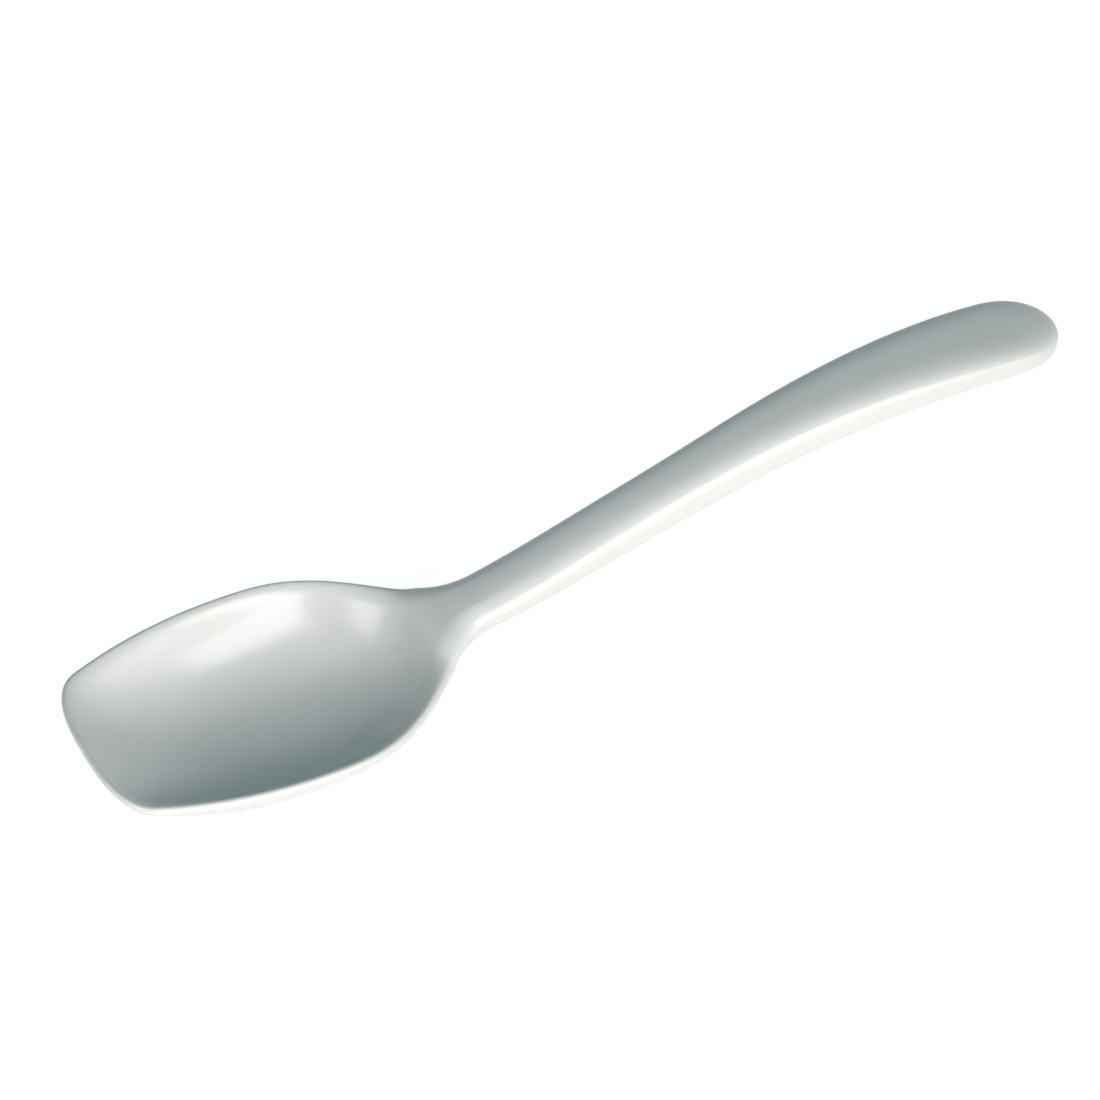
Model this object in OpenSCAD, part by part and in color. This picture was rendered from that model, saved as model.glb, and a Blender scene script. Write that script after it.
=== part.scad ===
// Serving spoon, moulded in one piece: a deep bowl with a bowed front edge, a narrow neck and an arched handle.
// Millimetres and degrees. The spoon lies as it rests on a table, on the belly of its bowl and the end of its
// handle. +X runs from the bowl to the handle, +Z is up and the origin is on the table, under its middle.
//
// The spoon is drawn level first, with the bowl's rim at z = 0 and x counted from the front edge.
// Every section across it is a skin laid over and under one curved middle sheet, with rounded edges.

/* [Overall] */
// Length from the front edge of the bowl to the end of the handle
spoon_length = 250; // [225:1:290]

/* [Bowl outline] */
// Width of the bowl at its widest, across the edge of the lip
bowl_width = 60; // [50:0.5:70]
// Length of the bowl, from its front edge to where the shoulders run out into the neck
bowl_length = 101; // [90:0.5:110]
// Distance from the front edge to the widest point
widest_at = 47.5; // [42:0.5:53]
// Radius of the bowed front edge
front_radius = 128; // [100:1:170]
// Radius of each side ahead of the widest point
side_radius = 113; // [90:1:135]
// Size of the rounding where the front edge meets a side
corner_round = 22; // [12:0.5:26]
// How full the shoulders stay before they turn in
shoulder_fullness = 2.9; // [2.6:0.05:4]
// How softly the shoulders sweep into the neck
shoulder_sweep = 2.75; // [2.2:0.05:3.8]

/* [Hollow] */
// Depth from the rim's edge down to the middle of the wall
hollow_depth = 17.6; // [13:0.2:22]
// Distance from the front edge to the deepest point
deepest_at = 42; // [38:0.5:50]
// Length of solid neck between the top of the back wall and the end of the shoulders
solid_neck = 13; // [8:0.5:20]
// How full the hollow is from side to side
side_fullness = 3.3; // [2.4:0.05:4.2]
// How full it is from side to side where the shoulders run out into the neck
neck_fullness = 1.65; // [1.5:0.05:3]
// How full the hollow is towards the front edge
front_fullness = 2.5; // [1.8:0.05:3.2]
// How full the hollow is towards its back wall
back_fullness = 4.6; // [3:0.05:5.6]
// Size of the rounding at the top of the back wall
back_round = 2; // [1:0.5:8]
// Size of the fillet under the neck, where the belly meets the handle
neck_fillet = 14; // [6:0.5:18]

/* [Wall] */
// Thickness of the bowl's wall and of its round lip
wall = 3; // [2.6:0.1:4.6]
// Thickness of the wall at the front edge
front_edge = 2.2; // [1.2:0.1:3]
// Length over which the wall thickens from the front edge
front_taper = 8; // [4:0.5:24]
// How much farther in the lip's top rounding reaches than it is high
lip_reach = 2.8; // [0:0.1:4]

/* [Handle] */
// Width of the neck at its narrowest
neck_width = 15.2; // [12:0.2:20]
// Distance from the end of the shoulders to where the handle starts to widen
neck_length = 40.5; // [30:0.5:50]
// Width of the handle at its widest
handle_width = 22; // [18:0.2:30]
// Length of the rounded end, behind the widest point of the handle
end_length = 17.5; // [12:0.5:24]
// How blunt the rounded end is
end_bluntness = 2.6; // [2:0.1:3.4]
// Height of the handle's top above its edge line, at the neck
neck_rise = 4.7; // [4:0.1:6.5]
// Height of the handle's top above its edge line, at the end
end_rise = 4.3; // [3.4:0.1:6]
// How much higher the top stands in the middle of the handle's length
handle_swell = 2.1; // [0:0.1:3]
// How square the top's section is at the neck, where 2 is half an ellipse
neck_squareness = 2.3; // [1.8:0.05:3]
// How square the top's section is at the end
end_squareness = 3.7; // [2.4:0.1:5]
// Depth of the handle's underside below its edge line
underside = 1.7; // [1.4:0.1:3]
// Rounding of the handle's lower edges
lower_round = 1.5; // [0.8:0.1:2.5]

/* [Neck] */
// Distance ahead of the shoulders' end where the lip starts to thicken into the handle
thicken_before = 27; // [10:0.5:36]
// Length over which the lip thickens
thicken_length = 24; // [12:0.5:40]
// Length over which the lip's round section turns into that of the handle
rounding_length = 46; // [24:1:54]

/* [Side view] */
// Angle at which the handle climbs from the bowl
rise_angle = 17.2; // [12:0.2:22]
// Distance ahead of the shoulders' end where the climbing line leaves the rim's level
rise_before = 8.4; // [2:0.2:14]
// Size of the blend between the rim and the climb
rise_blend = 9; // [4:0.5:12]
// Height of the arch line above the rim, at its measuring point
arch_height = 34.8; // [26:0.2:40]
// Distance from the end of the handle to that measuring point
arch_before_end = 40; // [30:1:55]
// Angle at which the end of the handle droops
droop_angle = 8.2; // [3:0.2:12]
// Size of the blend between the climb and the droop
arch_blend = 19; // [10:0.5:24]

/* [Smoothness] */
// Number of sections along the spoon
sections = 108; // [60:1:120]
// Steps round each quarter of the lip
lip_steps = 4; // [2:1:5]
// Steps from the lip to the middle of a section
floor_steps = 7; // [5:1:9]

/* [Hidden] */
melamine_white = [0.93, 0.94, 0.93];
tiny = 0.005;
half_bowl = bowl_width / 2;
hollow_end = bowl_length - solid_neck;
neck_at = bowl_length + neck_length;
end_start = spoon_length - end_length;
thicken_from = bowl_length - thicken_before;
rise_from = bowl_length - rise_before;
arch_at = spoon_length - arch_before_end;
half_steps = lip_steps + floor_steps;
ring_size = 4 * half_steps;
// The widest share of a half section that its rounded edge may take
edge_share_limit = 0.6;

// Blends of two values, rounded over a size k where they cross
function crossing(a, b, k) = pow(max(0, 1 - abs(a - b) / k), 2) * k / 4;
function smooth_min(a, b, k) = min(a, b) - crossing(a, b, k);
function smooth_max(a, b, k) = max(a, b) + crossing(a, b, k);

function share(x, from, to) = min(1, max(0, (x - from) / (to - from)));
function ease(x, from, to) = let (t = share(x, from, to)) t * t * (3 - 2 * t);
function slope(curve, x) = (curve(x + tiny) - curve(x - tiny)) / (2 * tiny);
function quarter_round(t) = sqrt(1 - pow(1 - min(1, t), 2));

// Outline, as half the width at x
function front_outline(x) =
    smooth_min(
        sqrt(2 * front_radius * max(0, x)),
        half_bowl - pow(widest_at - x, 2) / (2 * side_radius),
        corner_round
    );
function closing(x) = pow(share(x, end_start, spoon_length), end_bluntness);
function handle_outline(x) =
    (neck_width + (handle_width - neck_width) * ease(x, neck_at, end_start)) / 2 * sqrt(1 - closing(x));
function shoulder(x) = pow(1 - pow(share(x, widest_at, bowl_length), shoulder_fullness), shoulder_sweep);
function half_width(x) =
    x < widest_at
        ? front_outline(x)
        : handle_outline(x) + (half_bowl - handle_outline(x)) * shoulder(x);
function width_squared(x) = pow(half_width(x), 2);

// Side view: height of the edge line, and depth of the hollow and the belly along the middle
function climb(x) = smooth_max(tan(rise_angle) * (x - rise_from), 0, rise_blend);
function arch(x) = arch_height - tan(droop_angle) * (x - arch_at);
function edge_line(x) = smooth_min(climb(x), arch(x), arch_blend);
function front_floor(x) = hollow_depth * (1 - pow(1 - x / deepest_at, front_fullness));
function back_floor(x) = hollow_depth * (1 - pow((x - deepest_at) / (hollow_end - deepest_at), back_fullness));
function hollow(x) = x < deepest_at ? front_floor(x) : smooth_max(back_floor(x), 0, back_round);
function belly(x) = x < deepest_at ? front_floor(x) : smooth_max(back_floor(x), 0, neck_fillet);

// Power that shapes the hollow from side to side
function fullness(x) = side_fullness + (neck_fullness - side_fullness) * ease(x, deepest_at, bowl_length);

// Skin heights over and under the middle sheet, and the rounding of their edges
function thickened(x) = ease(x, thicken_from, thicken_from + thicken_length);
function along_handle(x) = share(x, bowl_length, spoon_length);
function handle_rise(x) =
    let (t = along_handle(x))
    neck_rise + (end_rise - neck_rise) * t + 4 * handle_swell * t * (1 - t);
function half_wall(x) = (front_edge + (wall - front_edge) * ease(x, 0, front_taper)) / 2;
function upper_skin(x) = half_wall(x) + (handle_rise(x) - half_wall(x)) * thickened(x);
function upper_rounding(x) = upper_skin(x) + lip_reach;
function lower_skin(x) = half_wall(x) + (underside - half_wall(x)) * thickened(x);
function lower_rounding(x) = half_wall(x) + (lower_round - half_wall(x)) * thickened(x);

// Height of the handle over its edge: a superellipse of the way out from the middle, which is 1 at the outline
function squareness(x) = neck_squareness + (end_squareness - neck_squareness) * along_handle(x);
function way_out(x, v) = sqrt(closing(x) + (1 - closing(x)) * v * v);
function handle_round(x, v) = let (n = squareness(x)) pow(max(0, 1 - pow(way_out(x, v), n)), 1 / n);
function rounded_over(x) = ease(x, thicken_from, thicken_from + rounding_length);

// A point of the skin at x, at the share v of the half width, over the sheet (side 1) or under it (side -1).
// The skin stands square to the sheet and closes in a rounded edge along the outline.
function skin_point(x, v, side) =
    let (
        w = half_width(x),
        y = v * w,
        widening = slope(function (x) width_squared(x), x),
        power = fullness(x),
        raised = pow(abs(v), power),
        sheet = edge_line(x) - hollow(x) * (1 - raised),
        slope_y = sign(v) * hollow(x) * power * pow(abs(v), power - 1) / w,
        easing = slope(function (x) fullness(x), x) * ln(max(tiny, abs(v))),
        slope_x = slope(function (x) edge_line(x), x)
            - slope(function (x) hollow(x), x) * (1 - raised)
            + hollow(x) * raised * (easing - power * widening / (2 * w * w)),
        stretch = norm([slope_x, slope_y, 1]),
        edge_distance = stretch * (w * w - y * y) / norm([widening, 2 * y]),
        lip = quarter_round(edge_distance / upper_rounding(x)),
        skin = side > 0
            ? upper_skin(x) * (lip + (handle_round(x, v) - lip) * rounded_over(x))
            : (hollow(x) - belly(x)) * (1 - raised)
                - lower_skin(x) * quarter_round(edge_distance / lower_rounding(x))
    )
    [x, y, sheet] + skin / stretch * [-slope_x, -slope_y, 1];

// Shares of the half width from the edge to the middle, close together round the edge
function half_columns(x, rounding) =
    let (
        edge_stretch = norm([1, hollow(x) * fullness(x) / half_width(x)]),
        edge_share = min(edge_share_limit, rounding / edge_stretch / half_width(x))
    )
    concat(
        [for (i = [0:lip_steps]) 1 - edge_share * (1 - cos(90 * i / lip_steps))],
        [for (i = [1:floor_steps]) (1 - edge_share) * (1 - i / floor_steps)]
    );

// The same shares over the top, which go from those of the lip to even angles round the handle's section
function handle_column(x, turn) =
    let (n = squareness(x)) cos(turn) / pow(pow(cos(turn), n) + pow(sin(turn), n), 1 / n);
function top_columns(x) =
    let (columns = half_columns(x, upper_rounding(x)))
    [
        for (i = [0:half_steps])
            columns[i] + (handle_column(x, 90 * i / half_steps) - columns[i]) * rounded_over(x)
    ];

// One closed section: over the top from the +Y edge to the -Y edge, then back underneath
function section_ring(x) =
    let (
        over = top_columns(x),
        under = half_columns(x, lower_rounding(x))
    )
    concat(
        [for (i = [0:half_steps]) skin_point(x, over[i], 1)],
        [for (i = [half_steps - 1:-1:0]) skin_point(x, -over[i], 1)],
        [for (i = [1:half_steps]) skin_point(x, -under[i], -1)],
        [for (i = [half_steps - 1:-1:1]) skin_point(x, under[i], -1)]
    );

// Sections stand close together at both ends, where the outline turns
function section_place(i) = spoon_length * (1 - cos(180 * i / sections)) / 2;

// Rest on a table: the line that touches the belly and the end of the handle from below
belly_line = [for (i = [1:sections - 1]) if (section_place(i) < hollow_end) skin_point(section_place(i), 0, -1)];
end_line = [for (i = [1:sections - 1]) if (section_place(i) > arch_at) skin_point(section_place(i), 0, -1)];
function steepness(p, q) = (q.z - p.z) / (q.x - p.x);
rest_angle = atan(max([for (p = belly_line) min([for (q = end_line) steepness(p, q)])]));
function laid(p) = [
    p.x * cos(rest_angle) + p.z * sin(rest_angle),
    p.y,
    p.z * cos(rest_angle) - p.x * sin(rest_angle)
];

front_point = [0, 0, edge_line(0)];
end_point = [spoon_length, 0, edge_line(spoon_length)];
level_points = concat(
    [front_point],
    [for (i = [1:sections - 1]) each section_ring(section_place(i))],
    [end_point]
);
laid_points = [for (p = level_points) laid(p)];
xs = [for (p = laid_points) p.x];
table = min([for (p = laid_points) p.z]);
origin = [(min(xs) + max(xs)) / 2, 0, table];

// Faces: a fan at each end point, and two triangles for each step along and round between them
ring_count = sections - 1;
last_ring = 1 + (ring_count - 1) * ring_size;
end_index = 1 + ring_count * ring_size;
function ring_index(ring, step) = 1 + ring * ring_size + step % ring_size;
front_faces = [for (j = [0:ring_size - 1]) [0, ring_index(0, j), ring_index(0, j + 1)]];
end_faces = [for (j = [0:ring_size - 1]) [end_index, last_ring + (j + 1) % ring_size, last_ring + j]];
side_faces = [
    for (i = [0:ring_count - 2], j = [0:ring_size - 1])
        let (
            a = ring_index(i, j),
            b = ring_index(i, j + 1),
            c = ring_index(i + 1, j + 1),
            d = ring_index(i + 1, j)
        )
        each [[a, d, c], [a, c, b]]
];

module spoon() {
    color(melamine_white)
        translate(-origin)
            polyhedron(points = laid_points, faces = concat(front_faces, side_faces, end_faces), convexity = 4);
}

spoon();
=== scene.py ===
"""Looks of a serving spoon that is moulded in one piece from white melamine.

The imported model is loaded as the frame. The spoon's skin is worked out again from the sizes and formulas of
its solid, with many more sections, and stands for it. A floor, soft lamps and the photograph's camera make
the studio.
"""

import bpy
import numpy as np
from mathutils import Matrix, Vector


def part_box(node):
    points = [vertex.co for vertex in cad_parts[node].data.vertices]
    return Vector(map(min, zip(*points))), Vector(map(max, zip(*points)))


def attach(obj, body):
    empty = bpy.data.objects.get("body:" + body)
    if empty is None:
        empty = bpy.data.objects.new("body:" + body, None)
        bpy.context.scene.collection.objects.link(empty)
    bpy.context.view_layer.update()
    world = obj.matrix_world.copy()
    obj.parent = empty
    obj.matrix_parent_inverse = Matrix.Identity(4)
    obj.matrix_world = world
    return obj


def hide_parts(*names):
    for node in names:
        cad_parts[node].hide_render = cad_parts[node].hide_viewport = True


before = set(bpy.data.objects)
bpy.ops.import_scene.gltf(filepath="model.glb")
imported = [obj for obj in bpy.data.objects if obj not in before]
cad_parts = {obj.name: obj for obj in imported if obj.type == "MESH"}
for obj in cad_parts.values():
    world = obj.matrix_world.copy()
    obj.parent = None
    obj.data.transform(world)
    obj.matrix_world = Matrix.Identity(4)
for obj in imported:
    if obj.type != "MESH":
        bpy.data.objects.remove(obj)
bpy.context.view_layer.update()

MILLIMETRE = 0.001

# Sizes of the spoon in millimetres and degrees. It is drawn level first, with the bowl's rim at z = 0 and x
# counted from the front edge of the bowl. First the outline of the bowl
SPOON_LENGTH = 250
BOWL_WIDTH = 60
BOWL_LENGTH = 101
WIDEST_AT = 47.5
FRONT_RADIUS = 128
SIDE_RADIUS = 113
CORNER_ROUND = 22
SHOULDER_FULLNESS = 2.9
SHOULDER_SWEEP = 2.75

# The hollow of the bowl, its wall and its lip
HOLLOW_DEPTH = 17.6
DEEPEST_AT = 42
SOLID_NECK = 13
SIDE_FULLNESS = 3.3
NECK_FULLNESS = 1.65
FRONT_FULLNESS = 2.5
BACK_FULLNESS = 4.6
BACK_ROUND = 2
NECK_FILLET = 14
WALL = 3
FRONT_EDGE = 2.2
FRONT_TAPER = 8
LIP_REACH = 2.8

# The neck and the handle, and how the lip thickens into them
NECK_WIDTH = 15.2
NECK_LENGTH = 40.5
HANDLE_WIDTH = 22
END_LENGTH = 17.5
END_BLUNTNESS = 2.6
NECK_RISE = 4.7
END_RISE = 4.3
HANDLE_SWELL = 2.1
UNDERSIDE = 1.7
NECK_SQUARENESS = 2.3
END_SQUARENESS = 3.7
LOWER_ROUND = 1.5
THICKEN_BEFORE = 27
THICKEN_LENGTH = 24
ROUNDING_LENGTH = 46

# The line of the edge, seen from the side
RISE_ANGLE = 17.2
RISE_BEFORE = 8.4
RISE_BLEND = 9
ARCH_HEIGHT = 34.8
ARCH_BEFORE_END = 40
DROOP_ANGLE = 8.2
ARCH_BLEND = 19

# Places along the spoon that follow from those sizes
HALF_BOWL = BOWL_WIDTH / 2
HOLLOW_END = BOWL_LENGTH - SOLID_NECK
NECK_AT = BOWL_LENGTH + NECK_LENGTH
END_START = SPOON_LENGTH - END_LENGTH
THICKEN_FROM = BOWL_LENGTH - THICKEN_BEFORE
RISE_FROM = BOWL_LENGTH - RISE_BEFORE
ARCH_AT = SPOON_LENGTH - ARCH_BEFORE_END

# Fineness of the skin: sections along the spoon, and steps round a quarter of the lip and on to the middle
SECTIONS = 520
LIP_STEPS = 10
FLOOR_STEPS = 32
EDGE_SHARE_LIMIT = 0.6
TINY = 0.005
TABLE_STEPS = 2080
TIP_MARGIN = 1

# The photograph's view of the spoon as it rests on the table
VIEW_AZIMUTH = -13.9
VIEW_ELEVATION = 51.6
VIEW_ROLL = -17.4
VIEW_DISTANCE = 1500
VIEW_WIDTH = 254.5
VIEW_AIM = (-6.5, 4, 12.6)
SENSOR_WIDTH = 36

# The floor: its own glow and the paint that shows the shadow, as seen, and the paint that soft light meets
FLOOR_GLOW = 0.97
FLOOR_SHADOW = 0.14
FLOOR_PAINT = 0.9
FLOOR_REACH = 3.0

# The room's soft light
ROOM_COLOUR = (0.3, 0.9, 1, 1)
ROOM_STRENGTH = 0.127

# The melamine: its two whites, and in metres the lumps and depths of its surface
CREAM = (0.775, 0.77, 0.755, 1)
WHITE = (0.81, 0.815, 0.81, 1)
MELAMINE_IOR = 1.6
CLOUD_SIZE = 0.02
GRAIN_SIZE = 0.0006
GRAIN_DEPTH = 0.000006
RIPPLE_SIZE = 0.006
RIPPLE_DEPTH = 0.00005
RUB_SIZE = 0.0009
RUB_STRETCH = 40


def crossing(a, b, size):
    """How much two curves are rounded where they cross: a quarter of the size, falling as a square to 0."""
    nearness = np.maximum(0, 1 - np.abs(a - b) / size)
    return nearness**2 * size / 4


def smooth_min(a, b, size):
    """The lower of two curves, with the corner where they cross rounded over the size."""
    return np.minimum(a, b) - crossing(a, b, size)


def smooth_max(a, b, size):
    """The higher of two curves, with the corner where they cross rounded over the size."""
    return np.maximum(a, b) + crossing(a, b, size)


def share(x, start, end):
    """How far x has come from start to end, from 0 to 1."""
    return np.clip((x - start) / (end - start), 0, 1)


def ease(x, start, end):
    """A soft step from 0 at start to 1 at end: three squares less two cubes of the share."""
    t = share(x, start, end)
    return t * t * (3 - 2 * t)


def slope(curve, x):
    """Slope of a curve at x, from a tiny step to each side."""
    return (curve(x + TINY) - curve(x - TINY)) / (2 * TINY)


def quarter_round(t):
    """Height of a quarter circle of radius 1, at the distance t in from its edge."""
    return np.sqrt(1 - (1 - np.minimum(1, t)) ** 2)


def tangent(degrees):
    return np.tan(np.radians(degrees))


def front_outline(x):
    """Half width ahead of the widest point: a bowed front edge and an arc along the side, rounded between."""
    bow = np.sqrt(2 * FRONT_RADIUS * np.maximum(0, x))
    side = HALF_BOWL - (WIDEST_AT - x) ** 2 / (2 * SIDE_RADIUS)
    return smooth_min(bow, side, CORNER_ROUND)


def closing(x):
    """How far the blunt end has closed, from 0 where it starts to 1 at its tip."""
    return share(x, END_START, SPOON_LENGTH) ** END_BLUNTNESS


def handle_outline(x):
    """Half width of the neck and handle, which widens softly and closes in a blunt round end."""
    width = NECK_WIDTH + (HANDLE_WIDTH - NECK_WIDTH) * ease(x, NECK_AT, END_START)
    return width / 2 * np.sqrt(1 - closing(x))


def half_width(x):
    """Half the spoon's width at x. Behind the widest point the shoulders sweep in from bowl to handle."""
    shoulder = (1 - share(x, WIDEST_AT, BOWL_LENGTH) ** SHOULDER_FULLNESS) ** SHOULDER_SWEEP
    behind = handle_outline(x) + (HALF_BOWL - handle_outline(x)) * shoulder
    return np.where(x < WIDEST_AT, front_outline(x), behind)


def width_squared(x):
    return half_width(x) ** 2


def edge_line(x):
    """Height of the edge: level along the rim, a straight climb, then an arch that droops to the end."""
    climb = smooth_max(tangent(RISE_ANGLE) * (x - RISE_FROM), 0, RISE_BLEND)
    arch = ARCH_HEIGHT - tangent(DROOP_ANGLE) * (x - ARCH_AT)
    return smooth_min(climb, arch, ARCH_BLEND)


def floor_depth(x, back_rounding):
    """Depth below the edge along the middle: a power curve to the deepest point, and one up the back wall."""
    ahead = np.maximum(0, 1 - x / DEEPEST_AT)
    behind = np.maximum(0, x - DEEPEST_AT) / (HOLLOW_END - DEEPEST_AT)
    front_floor = HOLLOW_DEPTH * (1 - ahead**FRONT_FULLNESS)
    back_floor = HOLLOW_DEPTH * (1 - behind**BACK_FULLNESS)
    return np.where(x < DEEPEST_AT, front_floor, smooth_max(back_floor, 0, back_rounding))


def hollow(x):
    return floor_depth(x, BACK_ROUND)


def belly(x):
    return floor_depth(x, NECK_FILLET)


def fullness(x):
    """Power that shapes the hollow from side to side. It eases off from the deepest point to the neck."""
    return SIDE_FULLNESS + (NECK_FULLNESS - SIDE_FULLNESS) * ease(x, DEEPEST_AT, BOWL_LENGTH)


def thickened(x):
    return ease(x, THICKEN_FROM, THICKEN_FROM + THICKEN_LENGTH)


def half_wall(x):
    """Half the thickness of the bowl's wall, which eases up from the front edge to the full wall."""
    return (FRONT_EDGE + (WALL - FRONT_EDGE) * ease(x, 0, FRONT_TAPER)) / 2


def upper_skin(x):
    """Height of the skin over the middle sheet, from half the wall at the bowl to the handle's rise."""
    along = share(x, BOWL_LENGTH, SPOON_LENGTH)
    handle_rise = NECK_RISE + (END_RISE - NECK_RISE) * along + 4 * HANDLE_SWELL * along * (1 - along)
    return half_wall(x) + (handle_rise - half_wall(x)) * thickened(x)


def upper_rounding(x):
    return upper_skin(x) + LIP_REACH


def lower_skin(x):
    return half_wall(x) + (UNDERSIDE - half_wall(x)) * thickened(x)


def rounded_over(x):
    """How far the section over the edge has gone from the bowl's lip, 0, to the handle's own round, 1."""
    return ease(x, THICKEN_FROM, THICKEN_FROM + ROUNDING_LENGTH)


def lower_rounding(x):
    return half_wall(x) + (LOWER_ROUND - half_wall(x)) * thickened(x)


def squareness(x):
    """Power of the superellipse that rounds the handle's section, from the neck to the end."""
    return NECK_SQUARENESS + (END_SQUARENESS - NECK_SQUARENESS) * share(x, BOWL_LENGTH, SPOON_LENGTH)


def handle_round(x, v):
    """Height of the handle over its edge, 1 in the middle: a superellipse of the way out to the outline.

    The square of that way is the square of v, and at the end it grows with the closing to 1 at the tip.
    """
    power = squareness(x)
    way_out = np.sqrt(closing(x) + (1 - closing(x)) * v**2)
    return np.maximum(0, 1 - way_out**power) ** (1 / power)


def skin(x, v, over):
    """Points of the skin at x, at the share v of the half width, over the middle sheet or under it.

    The sheet hangs from the edge line by the hollow's depth, times 1 less a power of v. The skin stands square
    to the sheet by its height, and closes along the outline in a quarter round of the edge's distance.
    """
    width = half_width(x)
    y = v * width
    widening = slope(width_squared, x)
    power = fullness(x)
    raised = np.abs(v) ** power
    sheet = edge_line(x) - hollow(x) * (1 - raised)
    slope_y = np.sign(v) * hollow(x) * power * np.abs(v) ** (power - 1) / width
    easing = slope(fullness, x) * np.log(np.maximum(TINY, np.abs(v)))
    side_slope = hollow(x) * raised * (easing - power * widening / (2 * width**2))
    slope_x = slope(edge_line, x) - slope(hollow, x) * (1 - raised) + side_slope
    stretch = np.sqrt(slope_x**2 + slope_y**2 + 1)
    edge_distance = stretch * (width**2 - y**2) / np.maximum(TINY, np.hypot(widening, 2 * y))
    if over:
        lip = quarter_round(edge_distance / upper_rounding(x))
        height = upper_skin(x) * (lip + (handle_round(x, v) - lip) * rounded_over(x))
    else:
        fillet = (hollow(x) - belly(x)) * (1 - raised)
        height = fillet - lower_skin(x) * quarter_round(edge_distance / lower_rounding(x))
    step = height / stretch
    points = np.stack([x - step * slope_x, y - step * slope_y, sheet + step], axis=-1)
    return points, edge_distance


def half_columns(x, rounding):
    """Shares of the half width from the edge to the middle of a section, close together round the edge."""
    edge_stretch = np.hypot(1, hollow(x) * fullness(x) / half_width(x))
    edge_share = np.minimum(EDGE_SHARE_LIMIT, rounding / edge_stretch / half_width(x))
    turn = np.linspace(0, np.pi / 2, LIP_STEPS + 1)
    inward = np.arange(1, FLOOR_STEPS + 1) / FLOOR_STEPS
    return np.concatenate([1 - edge_share * (1 - np.cos(turn)), (1 - edge_share) * (1 - inward)], axis=1)


def top_columns(x):
    """The same shares over the top, which go from those of the lip to even angles round the handle."""
    power = squareness(x)
    turn = np.linspace(0, np.pi / 2, LIP_STEPS + FLOOR_STEPS + 1)
    reach = (np.cos(turn) ** power + np.sin(turn) ** power) ** (1 / power)
    lip = half_columns(x, upper_rounding(x))
    return lip + (np.cos(turn) / reach - lip) * rounded_over(x)


def spoon_rings():
    """Closed rings of skin points, over the top from the +Y edge to the -Y edge and back underneath.

    Their places along the spoon follow a cosine, so that they stand close together where the outline turns.
    """
    place = np.pi * np.arange(1, SECTIONS) / SECTIONS
    x = SPOON_LENGTH * (1 - np.cos(place[:, None])) / 2
    top = top_columns(x)
    under = half_columns(x, lower_rounding(x))
    top_points, top_distance = skin(x, np.concatenate([top, -top[:, -2::-1]], axis=1), over=True)
    low_points, low_distance = skin(x, np.concatenate([-under[:, 1:], under[:, -2:0:-1]], axis=1), over=False)
    points = np.concatenate([top_points, low_points], axis=1)
    return points, np.concatenate([top_distance, low_distance], axis=1)


def rest_angle():
    """Angle of the table line, which touches the belly and the end of the handle from below."""
    x = np.linspace(TIP_MARGIN, SPOON_LENGTH - TIP_MARGIN, TABLE_STEPS)[:, None]
    middle = skin(x, np.zeros_like(x), over=False)[0][:, 0]
    bowl = middle[x[:, 0] < HOLLOW_END]
    end = middle[x[:, 0] > ARCH_AT]
    rise = end[None, :, 2] - bowl[:, None, 2]
    run = end[None, :, 0] - bowl[:, None, 0]
    return np.arctan((rise / run).min(axis=1).max())


def lay_down(points):
    """Turns level points by the rest angle and sets them into the box of the spoon's solid, in metres."""
    angle = rest_angle()
    x, y, z = np.moveaxis(points, -1, 0)
    along = x * np.cos(angle) + z * np.sin(angle)
    height = z * np.cos(angle) - x * np.sin(angle)
    turned = np.stack([along, y, height], axis=-1) * MILLIMETRE
    low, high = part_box("spoon")
    middle = (turned.min(axis=0)[0] + turned.max(axis=0)[0]) / 2
    shift = [(low.x + high.x) / 2 - middle, (low.y + high.y) / 2, low.z - turned.min(axis=0)[2]]
    return turned + shift


def spoon_faces(rings, steps):
    """Four-sided faces from ring to ring, and a fan of triangles to the point at each end."""
    ring = np.arange(rings - 1)[:, None]
    step = np.arange(steps)[None, :]
    here = 1 + ring * steps + step
    beside = 1 + ring * steps + (step + 1) % steps
    sides = np.stack([here, beside, beside + steps, here + steps], axis=-1).reshape(-1, 4)
    first = np.arange(steps)
    following = (first + 1) % steps
    end_point = 1 + rings * steps
    last_ring = end_point - steps
    front_fan = np.stack([np.zeros_like(first), 1 + following, 1 + first], axis=-1)
    end_fan = np.stack([last_ring + first, last_ring + following, np.full_like(first, end_point)], axis=-1)
    return sides.tolist() + front_fan.tolist() + end_fan.tolist()


def make_spoon():
    """The whole skin as one closed mesh, with an attribute that is 1 along its edge and falls off inwards."""
    points, edge_distance = spoon_rings()
    rings, steps = edge_distance.shape
    ends = np.array([0.0, SPOON_LENGTH])
    end_points = np.stack([ends, 0 * ends, edge_line(ends)], axis=-1)
    level = np.concatenate([end_points[:1], points.reshape(-1, 3), end_points[1:]])
    mesh = bpy.data.meshes.new("spoon_skin")
    mesh.from_pydata(lay_down(level).tolist(), [], spoon_faces(rings, steps))
    mesh.polygons.foreach_set("use_smooth", np.ones(len(mesh.polygons), dtype=bool))
    edge = np.exp(-edge_distance.ravel() / WALL)
    rim = mesh.attributes.new("rim", "FLOAT", "POINT")
    rim.data.foreach_set("value", np.concatenate([[1.0], edge, [1.0]]).astype(np.float32))
    mesh.update()
    spoon = bpy.data.objects.new("spoon_skin", mesh)
    bpy.context.collection.objects.link(spoon)
    return spoon


def add_node(tree, kind, **inputs):
    """A shader node of that kind, with its sockets set by name."""
    node = tree.nodes.new(kind)
    for name, value in inputs.items():
        node.inputs[name.replace("_", " ")].default_value = value
    return node


def empty_material(name):
    material = bpy.data.materials.new(name)
    material.use_nodes = True
    material.node_tree.nodes.clear()
    return material, material.node_tree


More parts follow.
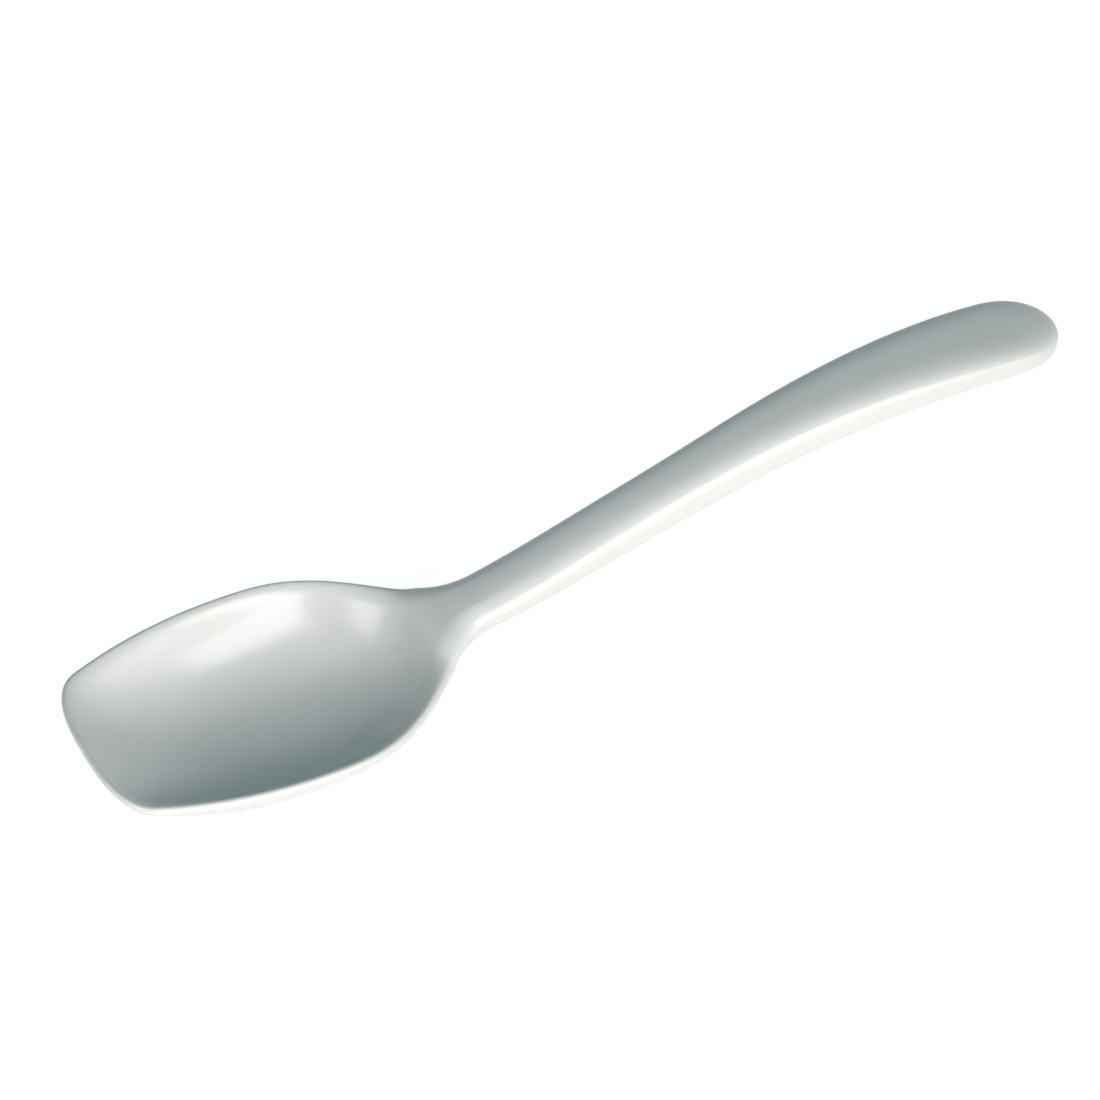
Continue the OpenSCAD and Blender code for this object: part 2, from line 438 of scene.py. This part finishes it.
def math_node(tree, operation, first, second):
    """A sum, product or the like of two values, each of them a number or the output of a node."""
    node = add_node(tree, "ShaderNodeMath")
    node.operation = operation
    for socket, value in zip(node.inputs, (first, second)):
        if isinstance(value, bpy.types.NodeSocket):
            tree.links.new(value, socket)
        else:
            socket.default_value = value
    return node.outputs["Value"]


def noise(tree, place, size, detail, stretch=1):
    """Noise with lumps of the given size in metres, drawn out along the spoon by the stretch."""
    mapping = add_node(tree, "ShaderNodeMapping", Scale=(1 / stretch, 1, 1))
    texture = add_node(tree, "ShaderNodeTexNoise", Scale=1 / size, Detail=detail)
    tree.links.new(place, mapping.inputs["Vector"])
    tree.links.new(mapping.outputs["Vector"], texture.inputs["Vector"])
    return texture.outputs["Fac"]


def carry(tree, value, source, target):
    """The value carried from the source range onto the target range, and held at both ends."""
    low, high = source
    start, end = target
    node = add_node(tree, "ShaderNodeMapRange", From_Min=low, From_Max=high, To_Min=start, To_Max=end)
    tree.links.new(value, node.inputs["Value"])
    return node.outputs["Result"]


def bump(tree, height, depth, below=None):
    """A bump of the given depth in metres, laid over the bump below it."""
    node = add_node(tree, "ShaderNodeBump", Strength=1, Distance=depth)
    tree.links.new(height, node.inputs["Height"])
    if below:
        tree.links.new(below, node.inputs["Normal"])
    return node.outputs["Normal"]


def melamine():
    """White moulded melamine with a soft gloss.

    The filler clouds the white a little, and it turns a shade creamier within about 2 mm of the edge.
    A slow ripple and the mould's fine satin grain stand in the surface. Long hair-fine rubs from use, mostly
    along the spoon, and the trimmed parting line round the edge are duller than the rest.
    """
    material, tree = empty_material("moulded_melamine")
    output = add_node(tree, "ShaderNodeOutputMaterial")
    shader = add_node(tree, "ShaderNodeBsdfPrincipled", IOR=MELAMINE_IOR)
    place = add_node(tree, "ShaderNodeTexCoord").outputs["Object"]
    rim = add_node(tree, "ShaderNodeAttribute")
    rim.attribute_name = "rim"
    edge = rim.outputs["Fac"]

    cloud = noise(tree, place, CLOUD_SIZE, detail=4)
    # A shade creamier within about 2 mm of the edge, all round the outline.
    edge_cream = carry(tree, edge, source=(0.5, 1), target=(0, 0.25))
    shade = math_node(tree, "SUBTRACT", cloud, edge_cream)
    tone = add_node(tree, "ShaderNodeValToRGB")
    cream, white = tone.color_ramp.elements
    cream.position = 0.2
    cream.color = CREAM
    white.position = 0.7
    white.color = WHITE
    tree.links.new(shade, tone.inputs["Fac"])
    tree.links.new(tone.outputs["Color"], shader.inputs["Base Color"])

    grain = noise(tree, place, GRAIN_SIZE, detail=2)
    ripple = noise(tree, place, RIPPLE_SIZE, detail=1)
    relief = bump(tree, grain, GRAIN_DEPTH, below=bump(tree, ripple, RIPPLE_DEPTH))
    tree.links.new(relief, shader.inputs["Normal"])

    streaks = noise(tree, place, RUB_SIZE, detail=3, stretch=RUB_STRETCH)
    rubs = carry(tree, streaks, source=(0.6, 0.75), target=(0, 0.05))
    parting_line = carry(tree, edge, source=(0.86, 0.97), target=(0, 0.1))
    satin = carry(tree, grain, source=(0.3, 0.7), target=(0.21, 0.25))
    dullness = math_node(tree, "ADD", satin, math_node(tree, "ADD", rubs, parting_line))
    tree.links.new(dullness, shader.inputs["Roughness"])
    tree.links.new(shader.outputs["BSDF"], output.inputs["Surface"])
    return material


def seen_straight(tree):
    """1 for the camera's own rays and for those that a shiny or clear surface sends on, 0 for soft light."""
    path = add_node(tree, "ShaderNodeLightPath")
    mirrored = math_node(tree, "MAXIMUM", path.outputs["Is Glossy Ray"], path.outputs["Is Transmission Ray"])
    return math_node(tree, "MAXIMUM", path.outputs["Is Camera Ray"], mirrored)


def grey_paint(tree, level):
    return add_node(tree, "ShaderNodeBsdfDiffuse", Color=(level, level, level, 1))


def floor_paint():
    """White floor paint. Seen straight or in a mirror it glows, with a thin paint that keeps the shadow."""
    material, tree = empty_material("floor_paint")
    output = add_node(tree, "ShaderNodeOutputMaterial")
    paint = grey_paint(tree, FLOOR_PAINT)
    glow = add_node(tree, "ShaderNodeEmission", Strength=FLOOR_GLOW)
    shadow_paint = grey_paint(tree, FLOOR_SHADOW)
    bright = add_node(tree, "ShaderNodeAddShader")
    mix = add_node(tree, "ShaderNodeMixShader")
    tree.links.new(glow.outputs["Emission"], bright.inputs[0])
    tree.links.new(shadow_paint.outputs["BSDF"], bright.inputs[1])
    tree.links.new(seen_straight(tree), mix.inputs["Fac"])
    tree.links.new(paint.outputs["BSDF"], mix.inputs[1])
    tree.links.new(bright.outputs["Shader"], mix.inputs[2])
    tree.links.new(mix.outputs["Shader"], output.inputs["Surface"])
    return material


def make_floor():
    mesh = bpy.data.meshes.new("floor")
    reach = FLOOR_REACH
    corners = [(-reach, -reach, 0), (reach, -reach, 0), (reach, reach, 0), (-reach, reach, 0)]
    mesh.from_pydata(corners, [], [(0, 1, 2, 3)])
    floor = bpy.data.objects.new("floor", mesh)
    bpy.context.collection.objects.link(floor)
    floor.data.materials.append(floor_paint())


def direction(azimuth, elevation):
    """Unit vector towards a place round the spoon. Azimuth 0 is on the near side and turns towards +X."""
    a, e = np.radians([azimuth, elevation])
    return Vector((np.sin(a) * np.cos(e), -np.cos(a) * np.cos(e), np.sin(e)))


def soft_lamp(name, azimuth, elevation, width, height, power, colour):
    """A rectangular area lamp that faces the spoon from a metre away."""
    data = bpy.data.lights.new(name, "AREA")
    data.shape = "RECTANGLE"
    data.size = width
    data.size_y = height
    data.energy = power
    data.color = colour
    lamp = bpy.data.objects.new(name, data)
    toward = direction(azimuth, elevation)
    lamp.location = toward
    lamp.rotation_mode = "QUATERNION"
    lamp.rotation_quaternion = toward.to_track_quat("Z", "Y")
    bpy.context.collection.objects.link(lamp)


def make_world():
    """A dim cool room that the lamps' light falls into, seen straight or in a mirror as plain white."""
    world = bpy.data.worlds.new("studio")
    world.use_nodes = True
    tree = world.node_tree
    tree.nodes.clear()
    output = add_node(tree, "ShaderNodeOutputWorld")
    room = add_node(tree, "ShaderNodeBackground", Color=ROOM_COLOUR, Strength=ROOM_STRENGTH)
    white = add_node(tree, "ShaderNodeBackground", Color=(1, 1, 1, 1), Strength=1)
    mix = add_node(tree, "ShaderNodeMixShader")
    tree.links.new(seen_straight(tree), mix.inputs["Fac"])
    tree.links.new(room.outputs["Background"], mix.inputs[1])
    tree.links.new(white.outputs["Background"], mix.inputs[2])
    tree.links.new(mix.outputs["Shader"], output.inputs["Surface"])
    bpy.context.scene.world = world


def make_light():
    """A warm softbox on the near side, two low strips under it and a smaller lamp past the bowl."""
    make_world()
    soft_lamp("key", azimuth=6, elevation=30, width=0.88, height=0.43, power=6.2, colour=(1, 0.96, 0.93))
    soft_lamp("low", azimuth=17, elevation=10, width=2, height=0.4, power=3.5, colour=(1, 0.88, 0.83))
    soft_lamp("foot", azimuth=4, elevation=3.5, width=1.8, height=0.12, power=1.6, colour=(0.97, 0.97, 1))
    soft_lamp("left", azimuth=-72, elevation=18.5, width=0.5, height=0.62, power=3.7, colour=(1, 0.92, 0.88))


def make_camera():
    """The photograph's camera, rolled about its own axis. It looks at the aim with no shift."""
    data = bpy.data.cameras.new("camera")
    data.sensor_width = SENSOR_WIDTH
    data.lens = SENSOR_WIDTH * VIEW_DISTANCE / VIEW_WIDTH
    back = direction(VIEW_AZIMUTH, VIEW_ELEVATION)
    level = Vector((-back.y, back.x, 0)).normalized()
    roll = np.radians(VIEW_ROLL)
    right = level * np.cos(roll) + back.cross(level) * np.sin(roll)
    up = back.cross(right)
    place = (Vector(VIEW_AIM) + back * VIEW_DISTANCE) * MILLIMETRE
    camera = bpy.data.objects.new("camera", data)
    camera.matrix_world = Matrix.Translation(place) @ Matrix((right, up, back)).transposed().to_4x4()
    bpy.context.collection.objects.link(camera)
    bpy.context.scene.camera = camera


spoon = make_spoon()
spoon.data.materials.append(melamine())
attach(spoon, "root")
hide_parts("spoon")

make_floor()
make_light()
make_camera()
bpy.context.scene.view_settings.view_transform = "Standard"
